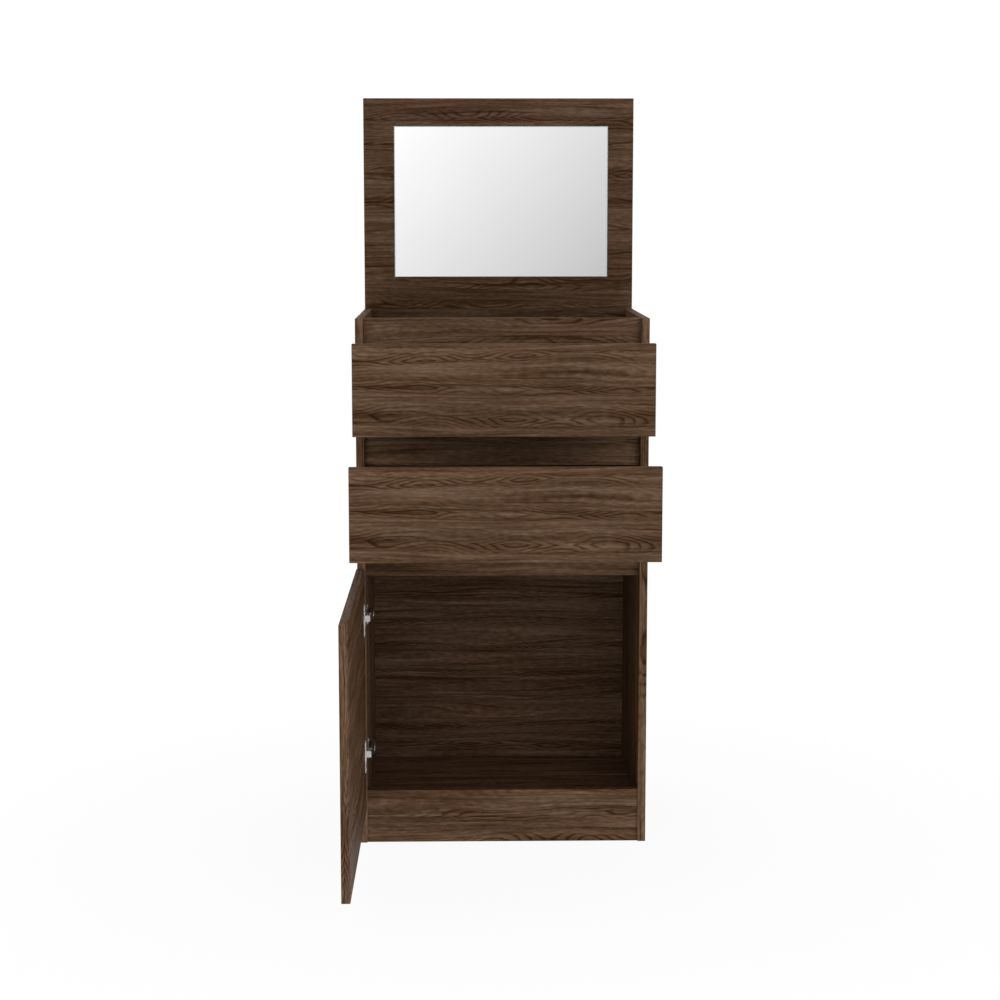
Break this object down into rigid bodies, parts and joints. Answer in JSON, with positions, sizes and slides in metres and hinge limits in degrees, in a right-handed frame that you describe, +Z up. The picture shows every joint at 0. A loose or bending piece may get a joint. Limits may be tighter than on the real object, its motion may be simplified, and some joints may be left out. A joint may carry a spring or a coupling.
{
  "type": "flip-top vanity cabinet",
  "caption": "Upright vanity cabinet: rear-hinged mirror lid over a tray, handle-less drawers on roller slides, and a cup-hinged door over a storage compartment.",
  "frame": {"origin": "centre of the plinth rail's foot, on the floor and midway between the side panels", "axes": "+Z up, +X to the right seen from the front, -Y out of the front"},
  "size_m": [0.5438, 0.9648, 1.4061],
  "materials": {
    "walnut_laminate": "dark walnut grain melamine, satin",
    "walnut_hardboard": "walnut printed hardboard",
    "drawer_board": "walnut foil wrapped board",
    "runner_epoxy": "white epoxy coated steel",
    "roller_nylon": "natural nylon",
    "hinge_nickel": "nickel plated pressed steel",
    "leaf_steel": "zinc plated steel",
    "zinc_fastener": "zinc plated",
    "mirror_silver": "silvered float glass",
    "foam_tape": "foam mounting tape"
  },
  "bodies": {
    "cabinet": {"left_side_panel": "walnut_laminate", "right_side_panel": "walnut_laminate", "back_panel": "walnut_hardboard", "floor_panel": "walnut_laminate", "tray_panel": "walnut_laminate", "plinth_rail": "walnut_laminate", "door_front_rail": "walnut_laminate", "middle_front_rail": "walnut_laminate", "top_front_rail": "walnut_laminate", "top_back_rail": "walnut_laminate", "runner_screws": "zinc_fastener", "back_leaf_screws": "zinc_fastener", "hinge_mount_screws": "zinc_fastener", "upper_hinge_arm": "hinge_nickel", "lower_hinge_arm": "hinge_nickel", "upper_hinge_plate": "hinge_nickel", "lower_hinge_plate": "hinge_nickel", "left_back_leaf": "leaf_steel", "right_back_leaf": "leaf_steel", "upper_left_cabinet_runner": "runner_epoxy", "upper_right_cabinet_runner": "runner_epoxy", "lower_left_cabinet_runner": "runner_epoxy", "lower_right_cabinet_runner": "runner_epoxy"},
    "door": {"door_panel": "walnut_laminate", "door_hinge_cups": "hinge_nickel", "door_hinge_pins": "hinge_nickel", "door_hinge_screws": "zinc_fastener"},
    "lid": {"lid_panel": "walnut_laminate", "mirror_glass": "mirror_silver", "mirror_tape": "foam_tape", "left_lid_leaf": "leaf_steel", "right_lid_leaf": "leaf_steel", "lid_hinge_screws": "zinc_fastener"},
    "upper_drawer": {"upper_drawer_front": "walnut_laminate", "upper_drawer_left_side": "drawer_board", "upper_drawer_right_side": "drawer_board", "upper_drawer_back": "drawer_board", "upper_drawer_bottom": "walnut_hardboard", "upper_left_drawer_runner": "runner_epoxy", "upper_right_drawer_runner": "runner_epoxy"},
    "upper_front_roller_pair": {"upper_front_rollers": "roller_nylon"},
    "upper_rear_roller_pair": {"upper_rear_rollers": "roller_nylon"},
    "lower_drawer": {"lower_drawer_front": "walnut_laminate", "lower_drawer_left_side": "drawer_board", "lower_drawer_right_side": "drawer_board", "lower_drawer_back": "drawer_board", "lower_drawer_bottom": "walnut_hardboard", "lower_left_drawer_runner": "runner_epoxy", "lower_right_drawer_runner": "runner_epoxy"},
    "lower_front_roller_pair": {"lower_front_rollers": "roller_nylon"},
    "lower_rear_roller_pair": {"lower_rear_rollers": "roller_nylon"}
  },
  "joints": [
    {"name": "upper_drawer_slide", "type": "slide", "parent": "cabinet", "child": "upper_drawer", "axis": [0, -1, 0], "range_m": [-0.127, 0.153]},
    {"name": "upper_front_roller_spin", "type": "hinge", "parent": "cabinet", "child": "upper_front_roller_pair", "pos_m": [0, 0.0005, 0.8042], "axis": [1, 0, 0], "continuous": true},
    {"name": "upper_rear_roller_spin", "type": "hinge", "parent": "upper_drawer", "child": "upper_rear_roller_pair", "pos_m": [0, 0.1975, 0.8023], "axis": [1, 0, 0], "continuous": true},
    {"name": "lower_drawer_slide", "type": "slide", "parent": "cabinet", "child": "lower_drawer", "axis": [0, -1, 0], "range_m": [-0.268, 0.012]},
    {"name": "lower_front_roller_spin", "type": "hinge", "parent": "cabinet", "child": "lower_front_roller_pair", "pos_m": [0, 0.0005, 0.6017], "axis": [1, 0, 0], "continuous": true},
    {"name": "lower_rear_roller_spin", "type": "hinge", "parent": "lower_drawer", "child": "lower_rear_roller_pair", "pos_m": [0, 0.0565, 0.5998], "axis": [1, 0, 0], "continuous": true},
    {"name": "door_hinge", "type": "hinge", "parent": "cabinet", "child": "door", "pos_m": [-0.2622, -0.0212, 0.2935], "axis": [0, 0, -1], "range_deg": [-90.25, 7.75]},
    {"name": "lid_hinge", "type": "hinge", "parent": "cabinet", "child": "lid", "pos_m": [0, 0.3915, 0.9826], "axis": [-1, 0, 0], "range_deg": [-90, 0]}
  ],
  "couplings": [
    {"joint": "upper_front_roller_spin", "follows": "upper_drawer_slide", "rad_per_m": 142.86},
    {"joint": "upper_rear_roller_spin", "follows": "upper_drawer_slide", "rad_per_m": 142.86},
    {"joint": "lower_front_roller_spin", "follows": "lower_drawer_slide", "rad_per_m": 142.86},
    {"joint": "lower_rear_roller_spin", "follows": "lower_drawer_slide", "rad_per_m": 142.86}
  ]
}
